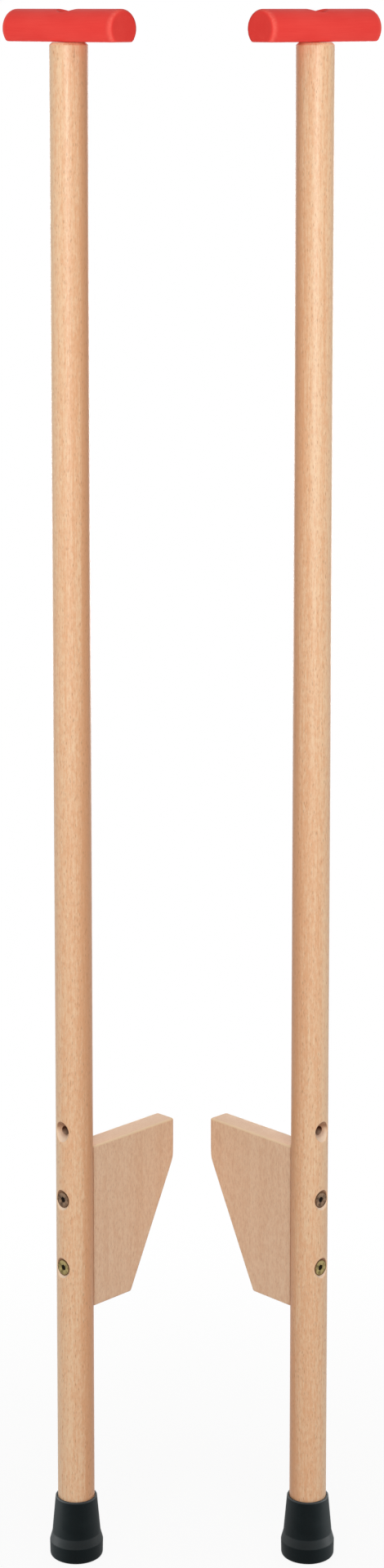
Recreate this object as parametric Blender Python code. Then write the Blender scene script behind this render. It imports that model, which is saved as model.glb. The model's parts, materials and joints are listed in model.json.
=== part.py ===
"""A pair of wooden walking stilts: beech poles with red cross handles, bolted steps and rubber feet.

Each stilt is modelled in its own frame, with the pole on +Z, the step along +X and the handle along Y.
The two stilts then stand side by side with their steps turned back and inwards, +Y being away from the
front. Sizes are in metres.
"""

import math

import bmesh
import bpy
from mathutils import Matrix, Vector

# Fits and facets
fit_gap = 0.0003                # gap between any two pieces that touch
cutter_margin = 0.01            # how far a cutter runs past the piece it cuts
large_segments = 40             # facets round a pole, a handle or a ferrule
small_segments = 20             # facets round bolts, inserts and their holes
fillet_steps = 4                # facets across a rounded edge
smooth_angle = math.radians(32)

# The pair
pole_spacing = 0.222            # between the two pole axes
step_turn = math.radians(44)    # how far each step is turned inwards from pointing straight back

# Pole
pole_diameter = 0.035
pole_length = 1.4305
pole_top_chamfer = 0.0025
pole_foot_chamfer = 0.0015
lowest_hole_height = 0.280      # above the pole's lower end
hole_pitch = 0.067
hole_count = 3                  # the step uses the two lowest, the rest raise it

# Handle
handle_diameter = 0.035
handle_length = 0.1415
handle_flat_depth = 0.0120      # from the handle's axis down to the flat on its underside
handle_end_round = 0.0037

# Step
step_thickness = 0.022
step_top_length = 0.1055        # from the pole's surface to the tip
step_bottom_length = 0.0465     # from the pole's surface to the foot of the slanted edge
step_above_bolts = 0.0475       # from the upper bolt up to the top
step_below_bolts = 0.044        # from the lower bolt down to the underside
step_tip_height = 0.039         # upright edge at the tip
step_edge_round = 0.0015

# Countersunk bolts with a hexagon socket
bolt_diameter = 0.008
bolt_length = 0.050
bolt_tip_chamfer = 0.001
bolt_head_diameter = 0.0152
bolt_head_land = 0.0003         # upright rim of the head above its cone
step_bolt_sink = 0.0002         # how far the head's rim lies under the surface it is sunk in
handle_bolt_sink = 0.0023       # and in the handle, where the countersink stays open above it
socket_width = 0.005            # across the flats
socket_depth = 0.0035

# Threaded inserts
insert_diameter = 0.0125
insert_length = 0.020
insert_sink = 0.0008            # from the face of the wood down to the insert
insert_ridge_depth = 0.0008
insert_ridges = 4
bore_relief = 0.002             # depth of each blind bore past the bolt and the insert

# Rubber ferrule and its washer
ferrule_height = 0.060
ferrule_floor = 0.010           # rubber under the washer
ferrule_rim_wall = 0.0020       # wall at the rim, at the waist, and at the top and foot of the base
ferrule_waist_wall = 0.0053
ferrule_flare_wall = 0.0077
ferrule_base_wall = 0.0074
ferrule_rim_chamfer = 0.0009
ferrule_base_height = 0.0152
ferrule_flare_height = 0.0085
ferrule_base_round = 0.003
tread_rings = 2
tread_pitch = 0.0075
tread_width = 0.0028
tread_depth = 0.0015
washer_thickness = 0.0015
washer_hole_diameter = 0.010
washer_rim_gap = 0.0005         # between the washer and the bore around it

# Places worked out from the sizes
pole_radius = pole_diameter / 2
handle_radius = handle_diameter / 2
bolt_radius = bolt_diameter / 2
bolt_head_radius = bolt_head_diameter / 2
insert_radius = insert_diameter / 2
ferrule_bore_radius = pole_radius + fit_gap

washer_z = ferrule_floor + fit_gap
pole_foot_z = washer_z + washer_thickness + fit_gap
pole_top_z = pole_foot_z + pole_length
handle_z = pole_top_z + fit_gap + handle_flat_depth

hole_heights = [pole_foot_z + lowest_hole_height + hole_pitch * i for i in range(hole_count)]
lower_bolt_z, upper_bolt_z = hole_heights[:2]
step_z = (lower_bolt_z + upper_bolt_z) / 2
step_face_x = pole_radius + fit_gap


def sunk_face(rod_radius, sink):
    """Distance from a round rod's axis to the face of a bolt head sunk in its side."""
    return math.sqrt(rod_radius ** 2 - bolt_head_radius ** 2) - sink


handle_bolt_z = handle_z + sunk_face(handle_radius, handle_bolt_sink)
step_bolt_x = -sunk_face(pole_radius, step_bolt_sink)
handle_bore_foot_z = min(handle_bolt_z - bolt_length, pole_top_z - insert_sink - insert_length) - bore_relief
step_bore_end_x = max(step_bolt_x + bolt_length, step_face_x + insert_sink + insert_length) + bore_relief

# Linear colour, roughness, metallic
finishes = {
    "beech_pole": ((0.752, 0.470, 0.272), 0.55, 0.0),
    "beech_step": ((0.650, 0.402, 0.255), 0.60, 0.0),
    "red_paint": ((0.775, 0.055, 0.043), 0.40, 0.0),
    "black_rubber": ((0.015, 0.019, 0.020), 0.55, 0.0),
    "yellow_zinc": ((0.430, 0.300, 0.120), 0.35, 1.0),
    "bright_zinc": ((0.560, 0.560, 0.540), 0.40, 1.0),
    "plain_steel": ((0.400, 0.400, 0.400), 0.45, 1.0),
}

# The bolts' own axis is Z with the head up; these turns lay it along +X or along the handle
head_to_front = Matrix.Rotation(math.radians(-90), 4, "Y")
along_handle = Matrix.Rotation(math.radians(90), 4, "X")


def clear_scene():
    for item in list(bpy.data.objects):
        bpy.data.objects.remove(item, do_unlink=True)


def make_material(name):
    colour, roughness, metallic = finishes[name]
    material = bpy.data.materials.new(name)
    material.use_nodes = True
    shader = material.node_tree.nodes["Principled BSDF"]
    shader.inputs["Base Color"].default_value = (*colour, 1.0)
    shader.inputs["Roughness"].default_value = roughness
    shader.inputs["Metallic"].default_value = metallic
    return material


def arc(centre, radius, start, end):
    """Points of a rounded edge, from one angle to the other, in degrees."""
    points = []
    for i in range(fillet_steps + 1):
        angle = math.radians(start + (end - start) * i / fillet_steps)
        points.append((centre[0] + radius * math.cos(angle), centre[1] + radius * math.sin(angle)))
    return points


def turned(profile, segments, pipe=False):
    """Revolve (radius, height) points about Z, the outside running from top to bottom.

    The ends are closed with a flat disc, or joined to each other on a pipe.
    """
    shape = bmesh.new()
    turns = [2 * math.pi * i / segments for i in range(segments)]
    rings = []
    for radius, height in profile:
        spots = [(radius * math.cos(turn), radius * math.sin(turn), height) for turn in turns]
        rings.append([shape.verts.new(spot) for spot in spots])
    pairs = list(zip(rings, rings[1:]))
    if pipe:
        pairs.append((rings[-1], rings[0]))
    else:
        shape.faces.new(rings[0])
        shape.faces.new(reversed(rings[-1]))
    for upper, lower in pairs:
        for i in range(segments):
            j = (i + 1) % segments
            shape.faces.new((upper[i], lower[i], lower[j], upper[j]))
    return shape


def prism(outline, thickness, edge_round=0.0):
    """Extrude an outline of (x, z) points along Y, centred, with its edges rounded."""
    shape = bmesh.new()
    front = [shape.verts.new((x, -thickness / 2, z)) for x, z in outline]
    face = shape.faces.new(front)
    grown = bmesh.ops.extrude_face_region(shape, geom=[face])["geom"]
    moved = [item for item in grown if isinstance(item, bmesh.types.BMVert)]
    bmesh.ops.translate(shape, verts=moved, vec=(0, thickness, 0))
    bmesh.ops.recalc_face_normals(shape, faces=shape.faces)
    if edge_round > 0:
        bmesh.ops.bevel(shape, geom=list(shape.edges), offset=edge_round, segments=2, profile=0.5,
                        affect="EDGES", clamp_overlap=True)
    return shape


def placed(shape, place=(0, 0, 0), turn=None):
    """Turn a shape about its own origin, then move it."""
    move = Matrix.Translation(Vector(place))
    shape.transform(move @ turn if turn else move)
    return shape


def to_object(name, shape):
    mesh = bpy.data.meshes.new(name)
    shape.to_mesh(mesh)
    shape.free()
    item = bpy.data.objects.new(name, mesh)
    bpy.context.collection.objects.link(item)
    return item


def cut(shape, cutters):
    """Cut shapes out of a shape and give back the finished mesh."""
    blank = to_object("blank", shape)
    tools = [to_object("cutter", cutter) for cutter in cutters]
    for tool in tools:
        modifier = blank.modifiers.new("cut", "BOOLEAN")
        modifier.operation = "DIFFERENCE"
        modifier.object = tool
    bpy.context.view_layer.update()
    evaluated = blank.evaluated_get(bpy.context.evaluated_depsgraph_get())
    mesh = bpy.data.meshes.new_from_object(evaluated)
    for item in [blank, *tools]:
        bpy.data.objects.remove(item, do_unlink=True)
    return mesh


def smooth(mesh):
    mesh.shade_smooth()
    mesh.set_sharp_from_angle(angle=smooth_angle)
    return mesh


def mesh_of(shape):
    mesh = bpy.data.meshes.new("piece")
    shape.to_mesh(mesh)
    shape.free()
    return mesh


def bolt_hole(depth):
    """Cutter for a bolt: its countersink, open above the head's face at height 0, and its shank hole."""
    cone_shift = fit_gap * math.sqrt(2)
    mouth = bolt_head_radius + cone_shift + cutter_margin
    shank = bolt_radius + fit_gap
    cone_top = cutter_margin - bolt_head_land
    cone_foot = cone_top - (mouth - shank)
    return turned([(mouth, cone_top), (shank, cone_foot), (shank, -depth)], small_segments)


def insert_bore(mouth_radius, top, foot):
    return turned([(mouth_radius, top), (mouth_radius, foot)], small_segments)


def pole_mesh():
    top = pole_top_z - pole_foot_z
    profile = [(pole_radius - pole_top_chamfer, top), (pole_radius, top - pole_top_chamfer),
               (pole_radius, pole_foot_chamfer), (pole_radius - pole_foot_chamfer, 0)]
    through = pole_diameter + cutter_margin
    cutters = [placed(bolt_hole(through), (step_bolt_x, 0, height - pole_foot_z), head_to_front)
               for height in hole_heights]
    cutters.append(insert_bore(insert_radius + fit_gap, top + cutter_margin, handle_bore_foot_z - pole_foot_z))
    return smooth(cut(turned(profile, large_segments), cutters))


def handle_mesh():
    half = handle_length / 2
    middle = handle_radius - handle_end_round
    profile = arc((middle, half - handle_end_round), handle_end_round, 90, 0)
    profile += arc((middle, handle_end_round - half), handle_end_round, 0, -90)
    rod = placed(turned(profile, large_segments), turn=along_handle)
    below = -handle_radius - cutter_margin
    side = handle_radius + cutter_margin
    waste = [(-side, below), (side, below), (side, -handle_flat_depth), (-side, -handle_flat_depth)]
    planing = prism(waste, handle_length + 2 * cutter_margin)
    hole = placed(bolt_hole(handle_diameter + cutter_margin), (0, 0, handle_bolt_z - handle_z))
    return smooth(cut(rod, [planing, hole]))


def step_mesh():
    """The step about its own origin, on the pole's axis and midway between its bolts."""
    top = upper_bolt_z + step_above_bolts - step_z
    foot = lower_bolt_z - step_below_bolts - step_z
    outline = [(0, foot), (pole_radius + step_bottom_length, foot),
               (pole_radius + step_top_length, top - step_tip_height),
               (pole_radius + step_top_length, top), (0, top)]
    board = prism(outline, step_thickness, step_edge_round)
    saddle = turned([(step_face_x, top + cutter_margin), (step_face_x, foot - cutter_margin)], large_segments)
    bores = []
    for height in (lower_bolt_z, upper_bolt_z):
        bore = insert_bore(insert_radius + fit_gap, 0, -step_bore_end_x)
        bores.append(placed(bore, (0, 0, height - step_z), head_to_front))
    return smooth(cut(board, [saddle, *bores]))


def bolt_mesh():
    """A bolt with its head's face at height 0 and its shank hanging down."""
    cone_foot = -bolt_head_land - (bolt_head_radius - bolt_radius)
    profile = [(bolt_head_radius, 0), (bolt_head_radius, -bolt_head_land), (bolt_radius, cone_foot),
               (bolt_radius, bolt_tip_chamfer - bolt_length), (bolt_radius - bolt_tip_chamfer, -bolt_length)]
    corner = socket_width / math.sqrt(3)
    socket = turned([(corner, cutter_margin), (corner, -socket_depth)], 6)
    return smooth(cut(turned(profile, small_segments), [socket]))


def insert_mesh():
    """A ridged sleeve, hanging down from height 0."""
    bore = bolt_radius + fit_gap
    root = insert_radius - insert_ridge_depth
    ridge = insert_length / insert_ridges
    profile = [(root, 0)]
    for i in range(insert_ridges):
        profile.append((insert_radius, -ridge * (i + 0.5)))
        profile.append((root, -ridge * (i + 1)))
    profile += [(bore, -insert_length), (bore, 0)]
    return smooth(mesh_of(turned(profile, small_segments, pipe=True)))


def ferrule_mesh():
    """The rubber foot: bore, rim, tapered collar, flare, thick base and ringed tread."""
    bore = ferrule_bore_radius
    rim = bore + ferrule_rim_wall
    flare_top = ferrule_base_height + ferrule_flare_height
    base = bore + ferrule_base_wall
    profile = [(bore, ferrule_floor), (bore, ferrule_height), (rim - ferrule_rim_chamfer, ferrule_height),
               (rim, ferrule_height - ferrule_rim_chamfer), (bore + ferrule_waist_wall, flare_top),
               (bore + ferrule_flare_wall, ferrule_base_height)]
    profile += arc((base - ferrule_base_round, ferrule_base_round), ferrule_base_round, 0, -90)
    for i in reversed(range(tread_rings)):
        middle = tread_pitch * (i + 1)
        outer, inner = middle + tread_width / 2, middle - tread_width / 2
        profile += [(outer, 0), (outer, tread_depth), (inner, tread_depth), (inner, 0)]
    return smooth(mesh_of(turned(profile, large_segments)))


def washer_mesh():
    outer = ferrule_bore_radius - washer_rim_gap
    inner = washer_hole_diameter / 2
    profile = [(outer, washer_thickness), (outer, 0), (inner, 0), (inner, washer_thickness)]
    return smooth(mesh_of(turned(profile, large_segments, pipe=True)))


def piece_list():
    """Name, mesh, finish, place and turn of each piece of one stilt."""
    bolt, insert = bolt_mesh(), insert_mesh()
    upright = Matrix.Identity(4)
    pieces = [
        ("pole", pole_mesh(), "beech_pole", (0, 0, pole_foot_z), upright),
        ("handle", handle_mesh(), "red_paint", (0, 0, handle_z), upright),
        ("handle_bolt", bolt, "yellow_zinc", (0, 0, handle_bolt_z), upright),
        ("handle_insert", insert, "bright_zinc", (0, 0, pole_top_z - insert_sink), upright),
        ("step", step_mesh(), "beech_step", (0, 0, step_z), upright),
        ("ferrule", ferrule_mesh(), "black_rubber", (0, 0, 0), upright),
        ("ferrule_washer", washer_mesh(), "plain_steel", (0, 0, washer_z), upright),
    ]
    for level, height in (("lower", lower_bolt_z), ("upper", upper_bolt_z)):
        insert_x = step_face_x + insert_sink
        pieces.append((f"{level}_step_bolt", bolt, "yellow_zinc", (step_bolt_x, 0, height), head_to_front))
        pieces.append((f"{level}_step_insert", insert, "bright_zinc", (insert_x, 0, height), head_to_front))
    return pieces


def build_stilt(side, frame_x, turn, pieces, materials):
    """Set the pieces of one stilt on an empty at the foot of its pole."""
    frame = bpy.data.objects.new(f"{side}_stilt_frame", None)
    frame.location = (frame_x, 0, 0)
    frame.rotation_euler = (0, 0, turn)
    bpy.context.collection.objects.link(frame)
    for name, mesh, finish, place, piece_turn in pieces:
        item = bpy.data.objects.new(f"{side}_{name}", mesh)
        if not mesh.materials:
            mesh.materials.append(materials[finish])
        item.parent = frame
        item.location = place
        item.rotation_euler = piece_turn.to_euler()
        bpy.context.collection.objects.link(item)
    return frame


def centre_depth(frames):
    """Move the stilts along Y until the pair's footprint is centred on the origin."""
    bpy.context.view_layer.update()
    depths = []
    for frame in frames:
        for item in frame.children:
            depths += [(item.matrix_world @ vertex.co).y for vertex in item.data.vertices]
    for frame in frames:
        frame.location.y -= (min(depths) + max(depths)) / 2
    bpy.context.view_layer.update()


def main():
    clear_scene()
    materials = {name: make_material(name) for name in finishes}
    pieces = piece_list()
    straight_back = math.radians(90)
    left = build_stilt("left", -pole_spacing / 2, straight_back - step_turn, pieces, materials)
    right = build_stilt("right", pole_spacing / 2, straight_back + step_turn, pieces, materials)
    centre_depth([left, right])


main()
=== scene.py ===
import json
import math

import bmesh
import bpy
import numpy as np
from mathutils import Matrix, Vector


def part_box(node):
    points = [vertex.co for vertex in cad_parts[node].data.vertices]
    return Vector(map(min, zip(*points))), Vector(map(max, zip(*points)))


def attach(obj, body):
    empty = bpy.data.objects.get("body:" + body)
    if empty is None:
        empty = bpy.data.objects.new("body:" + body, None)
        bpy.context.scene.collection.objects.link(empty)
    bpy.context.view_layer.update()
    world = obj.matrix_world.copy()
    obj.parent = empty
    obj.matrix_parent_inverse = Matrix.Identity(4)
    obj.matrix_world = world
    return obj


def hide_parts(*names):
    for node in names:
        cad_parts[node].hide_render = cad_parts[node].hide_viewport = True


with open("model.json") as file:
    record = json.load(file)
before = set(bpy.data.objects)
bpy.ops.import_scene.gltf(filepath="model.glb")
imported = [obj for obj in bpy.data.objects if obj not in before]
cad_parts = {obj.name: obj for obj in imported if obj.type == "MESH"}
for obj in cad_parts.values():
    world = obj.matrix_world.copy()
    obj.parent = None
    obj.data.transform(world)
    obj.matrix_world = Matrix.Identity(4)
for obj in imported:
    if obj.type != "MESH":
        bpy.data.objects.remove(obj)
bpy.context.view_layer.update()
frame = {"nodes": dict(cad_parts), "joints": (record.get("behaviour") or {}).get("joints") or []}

# A pair of beech stilts: turned poles with red cross handles, bolted steps and rubber feet.
# Each stilt is worked out in its own axes: u from the pole towards its step, v along its handle, z up.

upright = np.array([0.0, 0.0, 1.0])


# Stilts as the frame holds them

def nodePoints(name):
    mesh = frame["nodes"][name].data
    flat = np.empty(len(mesh.vertices) * 3, np.float32)
    mesh.vertices.foreach_get("co", flat)
    return flat.reshape(-1, 3).astype(float)


def jointAxis(name):
    return np.array(next(joint["axis"] for joint in frame["joints"] if joint["name"] == name), float)


def span(values):
    return values.min(), values.max()


class Stilt:
    # one stilt's own axes and main sizes, read from its nodes and from the way its step pulls off
    def __init__(self, side):
        low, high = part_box(f"{side}_pole")
        back = jointAxis(f"{side}_step_pull_off")
        self.side = side
        self.foot = np.array([(low.x + high.x) / 2, (low.y + high.y) / 2, 0.0])
        self.axes = np.array([back, np.cross(upright, back), upright])
        pole = self.node("pole")
        self.poleRadius = np.hypot(pole[:, 0], pole[:, 1]).max()
        self.poleFoot, self.poleTop = span(pole[:, 2])
        self.upperBolt, self.lowerBolt = self.stepBolt("upper_step_bolt"), self.stepBolt("lower_step_bolt")
        self.holePitch = self.upperBolt["height"] - self.lowerBolt["height"]

    def node(self, name):
        return (nodePoints(f"{self.side}_{name}") - self.foot) @ self.axes.T

    def toWorld(self, points):
        return self.foot + points @ self.axes

    def stepBolt(self, name):
        # how far out of the pole's axis the bolt's face lies, its height, its head and its length
        points = self.node(name)
        face, tip = span(points[:, 0])
        height = sum(span(points[:, 2])) / 2
        headRadius = np.hypot(points[:, 1], points[:, 2] - height).max()
        return {"face": -face, "height": height, "headRadius": headRadius, "length": tip - face}

    def handleBolt(self):
        points = self.node("handle_bolt")
        tip, face = span(points[:, 2])
        headRadius = np.hypot(points[:, 0], points[:, 1]).max()
        return {"face": face, "height": 0.0, "headRadius": headRadius, "length": face - tip}


stilts = [Stilt("left"), Stilt("right")]
print("stilts read:", [(stilt.side, stilt.foot.round(4).tolist()) for stilt in stilts])


# Surfaces

def between(start, end, count):
    # straight blend of two rings of points: start + (end - start) t
    t = np.linspace(0, 1, count)[:, None, None]
    return start + (end - start) * t


def bend(start, corner, end, count):
    # rounded corner between two rings: (1-t)² start + 2t(1-t) corner + t² end
    t = np.linspace(0, 1, count)[:, None, None]
    return (1 - t) ** 2 * start + 2 * t * (1 - t) * corner + t ** 2 * end


def allRound(count):
    return np.linspace(0, 2 * math.pi, count, endpoint=False)


def ring(turn, reach, out):
    # points at the given reach round an axis, each at its own distance out along it
    return np.stack([reach * np.cos(turn), reach * np.sin(turn), out + 0 * turn], axis=-1)


def softened(corners, cuts, count=6):
    # an outline whose inner corners are bent: each corner is cut by the same length along both of its
    # sides, and a curve with the corner as its pull replaces it
    corners, cuts = np.array(corners, float), np.array(cuts, float)[:, None]
    before, here, after = corners[:-2], corners[1:-1], corners[2:]
    start = here + cuts * (before - here) / np.linalg.norm(before - here, axis=1, keepdims=True)
    end = here + cuts * (after - here) / np.linalg.norm(after - here, axis=1, keepdims=True)
    curves = bend(start, here, end, count).transpose(1, 0, 2).reshape(-1, 2)
    return np.concatenate([corners[:1], curves, corners[-1:]])


def lathe(profile, columns):
    # every (radius, height) point of the profile swept round Z: radius cos, radius sin, height
    return ring(allRound(columns), profile[:, 0, None], profile[:, 1, None])


def rowsAlong(low, high, step, places, half, fine):
    # even rows from low to high, and a fine set of 2 half + 1 rows about each place instead
    even = np.linspace(low, high, int((high - low) / step) + 2)
    places = np.array(places)
    clear = np.all(np.abs(even[:, None] - places) > (half + 1) * fine, axis=1)
    close = places[:, None] + fine * np.arange(-half, half + 1)
    return np.sort(np.concatenate([even[clear], close.ravel()]))


def patchOutline(grid, row, column, half, hand=1):
    # border of a square patch of a grid, walked once round; hand -1 walks it as seen through the piece
    side, full = np.arange(-half, half), np.full(2 * half, half)
    rows = np.concatenate([side, full, -side, -full])
    columns = np.concatenate([-full, side, full, -side])
    return grid[row + rows, (column + hand * columns) % grid.shape[1]]


def dropPatch(kept, row, column, half):
    rows = np.arange(row - half, row + half)
    columns = np.arange(column - half, column + half) % kept.shape[1]
    kept[np.ix_(rows, columns)] = False


meshLook = {
    "merge": 2e-6,           # points closer than this become one
    "sharpAngle": 38,        # degrees from which an edge is shaded sharp
}


def solid(name, grids, toWorld):
    # one closed mesh from grids of points whose rows are closed rings: neighbouring points make the faces,
    # kept says which of them stay, and caps names the rows that are filled
    points, faces, count = [], [], 0
    for grid in grids:
        spots = grid["points"]
        index = count + np.arange(spots[..., 0].size).reshape(spots.shape[:2])
        beside = np.roll(index, -1, axis=1)
        cells = np.stack([index[:-1], index[1:], beside[1:], beside[:-1]], axis=-1)
        faces += cells[grid.get("kept", np.ones(cells.shape[:2], bool))].tolist()
        faces += [index[row].tolist() for row in grid.get("caps", ())]
        points.append(spots.reshape(-1, 3))
        count += index.size
    mesh = bpy.data.meshes.new(name)
    mesh.from_pydata(toWorld(np.concatenate(points)).tolist(), [], faces)
    shape = bmesh.new()
    shape.from_mesh(mesh)
    bmesh.ops.remove_doubles(shape, verts=shape.verts, dist=meshLook["merge"])
    bmesh.ops.recalc_face_normals(shape, faces=shape.faces)
    torn = sum(not edge.is_manifold for edge in shape.edges)
    shape.to_mesh(mesh)
    shape.free()
    mesh.shade_smooth()
    mesh.set_sharp_from_angle(angle=math.radians(meshLook["sharpAngle"]))
    piece = bpy.data.objects.new(name, mesh)
    bpy.context.scene.collection.objects.link(piece)
    print(f"  {name}: {len(mesh.polygons)} faces, {torn} open edges")
    return piece


# Shader maths

class Socket:
    # one output of a shader node; arithmetic on it adds Math nodes
    def __init__(self, nodes, output):
        self.nodes, self.output = nodes, output

    def math(self, operation, *values):
        return self.nodes.add("ShaderNodeMath", {"operation": operation}, dict(enumerate(values)))

    def __add__(self, other):
        return self.math("ADD", self, other)

    def __sub__(self, other):
        return self.math("SUBTRACT", self, other)

    def __rsub__(self, other):
        return self.math("SUBTRACT", other, self)

    def __mul__(self, other):
        return self.math("MULTIPLY", self, other)

    def __truediv__(self, other):
        return self.math("DIVIDE", self, other)

    __radd__ = __add__
    __rmul__ = __mul__

    def apply(self, operation):
        return self.math(operation, self)

    def most(self, other):
        return self.math("MAXIMUM", self, other)

    def least(self, other):
        return self.math("MINIMUM", self, other)

    def rise(self, start, end):
        # 0 below start, 1 above end, eased between them; start may be the larger
        inputs = {"Value": self, "From Min": start, "From Max": end}
        return self.nodes.add("ShaderNodeMapRange", {"interpolation_type": "SMOOTHSTEP"}, inputs)


class Nodes:
    # a node tree under construction
    def __init__(self, tree):
        self.tree = tree

    def feed(self, socket, value):
        if isinstance(value, Socket):
            self.tree.links.new(value.output, socket)
        else:
            socket.default_value = value

    def add(self, kind, settings=None, inputs=None, output=0):
        made = self.tree.nodes.new(kind)
        for key, value in (settings or {}).items():
            setattr(made, key, value)
        for key, value in (inputs or {}).items():
            self.feed(made.inputs[key], value)
        return Socket(self, made.outputs[output])

    def mix(self, share, first, second):
        colours = {"data_type": "RGBA", "clamp_factor": True}
        return self.add("ShaderNodeMix", colours, {0: share, 6: first, 7: second}, output=2)

    def spots(self, place=(0, 0, 0), turn=0.0, size=1.0):
        # object coordinates about a place, turned about Z and measured in units of size, one or three
        where = self.add("ShaderNodeTexCoord", output="Object")
        inputs = {"Vector": where, "Location": tuple(place), "Rotation": (0, 0, turn),
                  "Scale": tuple(np.broadcast_to(size, 3))}
        return self.add("ShaderNodeMapping", {"vector_type": "TEXTURE"}, inputs)

    def noise(self, spots, detail, rough):
        inputs = {"Vector": spots, "Scale": 1.0, "Detail": detail, "Roughness": rough}
        return self.add("ShaderNodeTexNoise", None, inputs)

    def cells(self, spots):
        # distance to the nearest of the points that are scattered one to a unit
        return self.add("ShaderNodeTexVoronoi", None, {"Vector": spots, "Scale": 1.0}, "Distance")

    def parts(self, spots):
        return [self.add("ShaderNodeSeparateXYZ", None, {0: spots}, axis) for axis in "XYZ"]


def srgb(red, green, blue):
    # screen colour, 0 to 255, as the linear colour that shaders take
    share = np.array([red, green, blue]) / 255
    linear = np.where(share <= 0.04045, share / 12.92, ((share + 0.055) / 1.055) ** 2.4)
    return (*linear.tolist(), 1.0)


class Finish(Nodes):
    # a material: fixed numbers go onto the shader's sockets, what changes over the surface is linked
    def __init__(self, name, **fixed):
        self.material = bpy.data.materials.new(name)
        self.material.use_nodes = True
        super().__init__(self.material.node_tree)
        self.shader = self.tree.nodes["Principled BSDF"]
        for key, value in fixed.items():
            self.shader.inputs[key.replace("_", " ")].default_value = value

    def set(self, **links):
        for key, value in links.items():
            self.feed(self.shader.inputs[key.replace("_", " ")], value)

    def bump(self, height, depth, strength):
        # depth in metres for a height that goes from 0 to 1
        inputs = {"Height": height, "Distance": depth, "Strength": strength}
        self.set(Normal=self.add("ShaderNodeBump", None, inputs))


# Beech

beechLook = {
    "pole": {
        "straw": srgb(250, 212, 172), "peach": srgb(238, 180, 135), "orange": srgb(233, 171, 124),
        "fleck": srgb(170, 106, 70), "cut": srgb(252, 224, 198),
        "fibre": 1.2, "tone": 1.0, "mottle": 1.5, "ring": 0.12, "ray": 0.42, "pore": 0.22, "dash": 0.6,
        "varnish": 0.3,
    },
    "step": {
        # on the step, the third colour is painted light for the top, and the cut colour is only a painted
        # highlight on the top edges
        "straw": srgb(253, 217, 184), "peach": srgb(241, 196, 160), "paintedTopLight": srgb(244, 205, 171),
        "fleck": srgb(184, 132, 97), "cut": srgb(255, 226, 188),
        "fibre": 0.7, "tone": 0.7, "mottle": 1.9, "ring": 0.05, "ray": 0.20, "pore": 0.30, "dash": 0.35,
        "varnish": 0.05,
    },
    "fibre": (0.0009, 0.040),      # width and length of a fibre streak
    "tone": (0.010, 0.40),         # broad bands of tone
    "mottle": (0.0022, 0.0064),    # small patches of tone
    "rows": (0.0030, 0.10),        # rows in which the rays gather
    "ray": (0.0018, 0.0080),       # rays, seen as short dashes
    "pore": (0.0008, 0.0048),
    "dash": (0.010, 0.16),         # a few longer dark dashes
    "rings": (0.0046, 1.0),        # growth rings, seen as faint lines along the grain
    "ringLean": (0.55, 0.83),      # the way across the grain in which the rings follow each other
    "sway": (0.02, 0.25),          # waves in the rings, and how many rings deep they are
    "swayRings": 3.0,
    "middle": 0.45,                # shade between straw, 0, and peach, 1
    "relief": 0.00010,
}
heartwoodAndShadeLook = {
    "facing": 67,                  # degrees from the front towards the inner side
    "lean": 0.20,                  # what the shade gains there, partly the wood's tone and partly painted shade
    "edge": (0.74, 0.96),          # where the orange sets in, in radii from the pole's axis
    "ragged": (0.45, 0.30),        # how far tone and fibre shift that edge
    "share": 0.70,
}
holeLook = {
    # the bore colour is partly end grain and partly painted shade, and the next is painted shade on the
    # upper side of each countersink
    "bore": srgb(88, 44, 22), "paintedUpperShade": srgb(146, 94, 64),
    "skin": (0.0002, 0.0006),      # depth under the pole's surface at which cut wood starts
    "mouth": (0.0125, 0.0115),     # how far a mouth reaches from the hole's axis
    "upper": (-0.0010, 0.0055),    # heights over which the painted shade on the upper side sets in
    "lower": (0.0015, -0.0040),    # and the painted highlight on the lower side
    "shadedRingWidth": (0.0032, 0.0002),     # width of the ring of painted shade round the bore
    "boreEdge": 0.0004,
    "paintedLitWall": (0.004, 0.011),    # distances from the pole's axis over which the lower wall gets a painted highlight
}
stepLightLook = {
    "top": (0.0008, 0.0002),       # depth under the step's top at which the painted light on the top starts
    "edgeHighlight": (0.0022, 0.0008),    # depth of the painted highlight on the top edges, and its width in from the faces
    "edgeHighlightWidth": (0.0022, 0.0010),
}


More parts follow.
